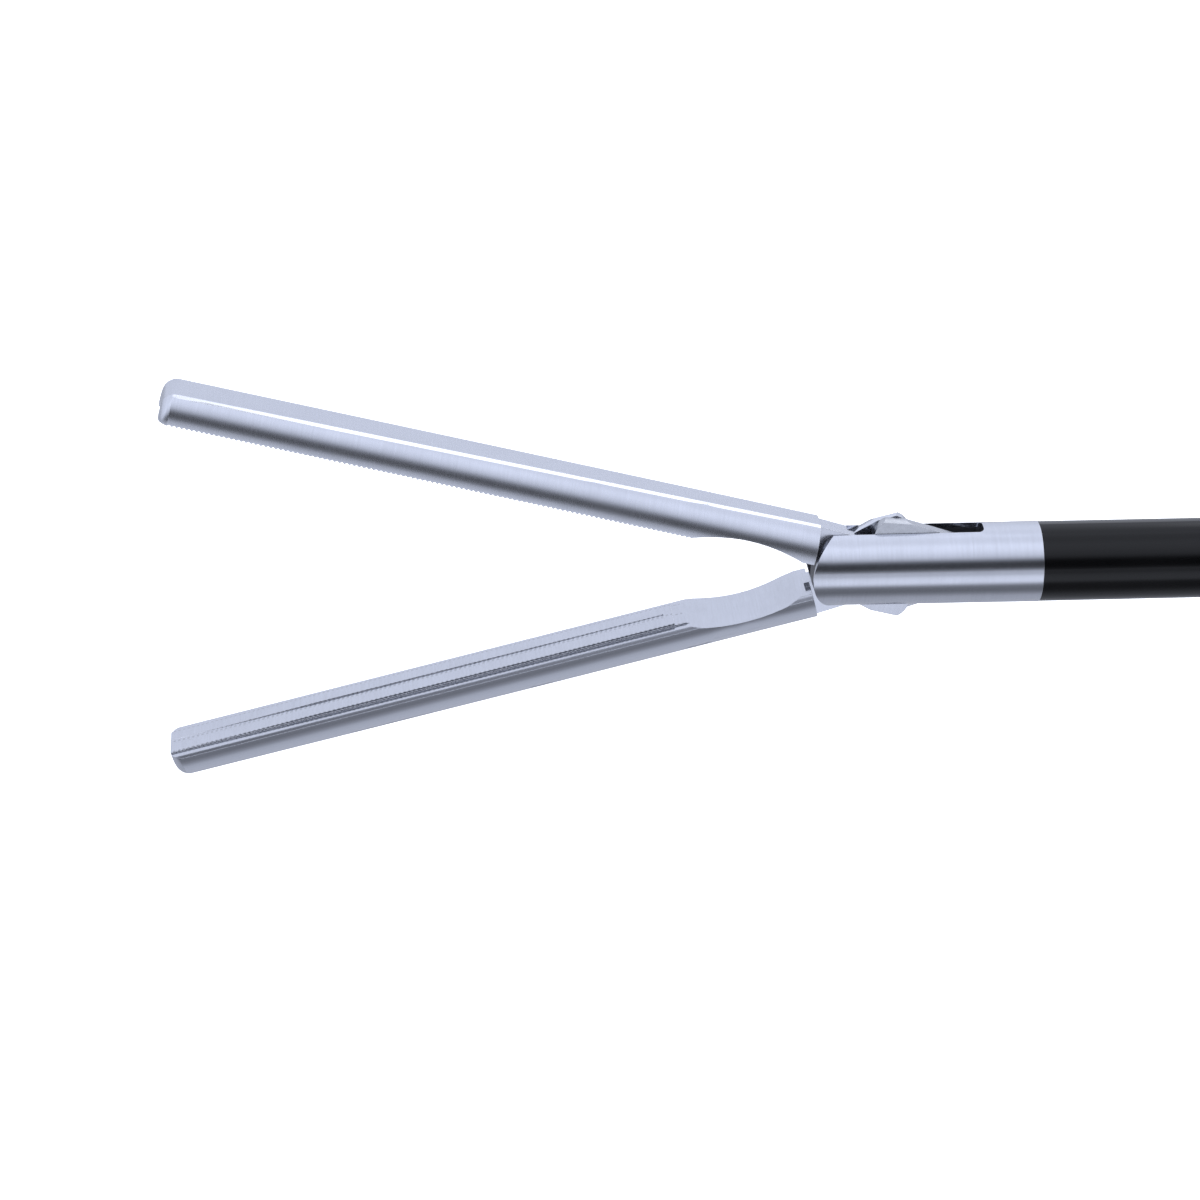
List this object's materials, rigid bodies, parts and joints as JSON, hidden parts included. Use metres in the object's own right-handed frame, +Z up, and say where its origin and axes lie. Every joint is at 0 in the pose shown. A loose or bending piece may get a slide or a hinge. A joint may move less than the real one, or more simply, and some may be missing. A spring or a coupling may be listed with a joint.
{
  "type": "laparoscopic grasper",
  "caption": "Long insulated shaft with two toothed half-round jaws on one pivot, linked to a push rod that a two-ring handle with a fluted rotation knob works.",
  "frame": {"origin": "on the shaft's axis at the front face of the rotation knob, where the insulated shaft ends", "axes": "+X along the shaft towards the handle, so the jaws lie at -X; +Z up, away from the finger rings; +Y across; the jaws open in the XZ plane"},
  "size_m": [0.4342, 0.0254, 0.1117],
  "materials": {
    "jaw_steel": "satin, fine cross-brushed",
    "tip_steel": "satin, turned",
    "link_steel": "satin, ground",
    "inner_steel": "drawn",
    "hub_steel": "turned",
    "screw_steel": "bright",
    "post_steel": "turned and polished",
    "leaf_metal": "rolled",
    "insulation": "satin black shrunk sleeve",
    "knob_plastic": "fine moulded texture",
    "handle_plastic": "fine moulded texture",
    "inner_plastic": "machined, natural white",
    "seal_rubber": "moulded"
  },
  "bodies": {
    "handle": {"handle_left": "handle_plastic", "handle_right": "handle_plastic", "front_bush": "inner_plastic", "lever_pivot_pin": "inner_steel", "housing_screws": "screw_steel", "contact_post": "post_steel", "contact_leaf": "leaf_metal"},
    "shaft": {"clevis": "tip_steel", "jaw_pivot_pin": "tip_steel", "outer_tube": "inner_steel", "insulation_sleeve": "insulation", "tube_hub": "hub_steel", "rotation_knob": "knob_plastic", "knob_grub_screw": "screw_steel", "hub_clip": "inner_steel", "friction_ring": "seal_rubber", "rod_seal": "seal_rubber", "gland_nut": "hub_steel"},
    "rod": {"drive_rod": "inner_steel", "rod_fork": "inner_steel", "rod_pin": "inner_steel", "rod_ball": "inner_steel", "rod_spacers": "inner_plastic"},
    "upper_jaw": {"jaw_upper": "jaw_steel", "elbow_rivet_lower": "link_steel"},
    "lower_jaw": {"jaw_lower": "jaw_steel", "elbow_rivet_upper": "link_steel"},
    "upper_link": {"link_upper": "link_steel"},
    "lower_link": {"link_lower": "link_steel"},
    "lever": {"thumb_lever": "handle_plastic", "ball_saddle": "hub_steel"}
  },
  "joints": [
    {"name": "lever_hinge", "type": "hinge", "parent": "handle", "child": "lever", "pos_m": [0.06, 0, -0.0042], "axis": [0, 1, 0], "range_deg": [0, 8.6]},
    {"name": "shaft_turn", "type": "hinge", "parent": "handle", "child": "shaft", "pos_m": [0, 0, 0], "axis": [1, 0, 0], "continuous": true},
    {"name": "rod_slide", "type": "slide", "parent": "shaft", "child": "rod", "axis": [1, 0, 0], "range_m": [0, 0.0006362]},
    {"name": "upper_jaw_hinge", "type": "hinge", "parent": "shaft", "child": "upper_jaw", "pos_m": [-0.2864, 0, 0], "axis": [0, 1, 0], "range_deg": [-14.71, 0]},
    {"name": "lower_jaw_hinge", "type": "hinge", "parent": "shaft", "child": "lower_jaw", "pos_m": [-0.2864, 0, 0], "axis": [0, 1, 0], "range_deg": [0, 14.71]},
    {"name": "upper_link_hinge", "type": "hinge", "parent": "rod", "child": "upper_link", "pos_m": [-0.2769, 0, 0], "axis": [0, 1, 0], "range_deg": [-5.18, 0]},
    {"name": "lower_link_hinge", "type": "hinge", "parent": "rod", "child": "lower_link", "pos_m": [-0.2769, 0, 0], "axis": [0, 1, 0], "range_deg": [0, 5.18]}
  ],
  "couplings": [
    {"joint": "rod_slide", "follows": "lever_hinge", "m_per_rad": 0.0042318},
    {"joint": "upper_jaw_hinge", "follows": "lever_hinge", "ratio": -1.7101},
    {"joint": "lower_jaw_hinge", "follows": "lever_hinge", "ratio": 1.7101},
    {"joint": "upper_link_hinge", "follows": "lever_hinge", "ratio": -0.60233},
    {"joint": "lower_link_hinge", "follows": "lever_hinge", "ratio": 0.60233}
  ]
}
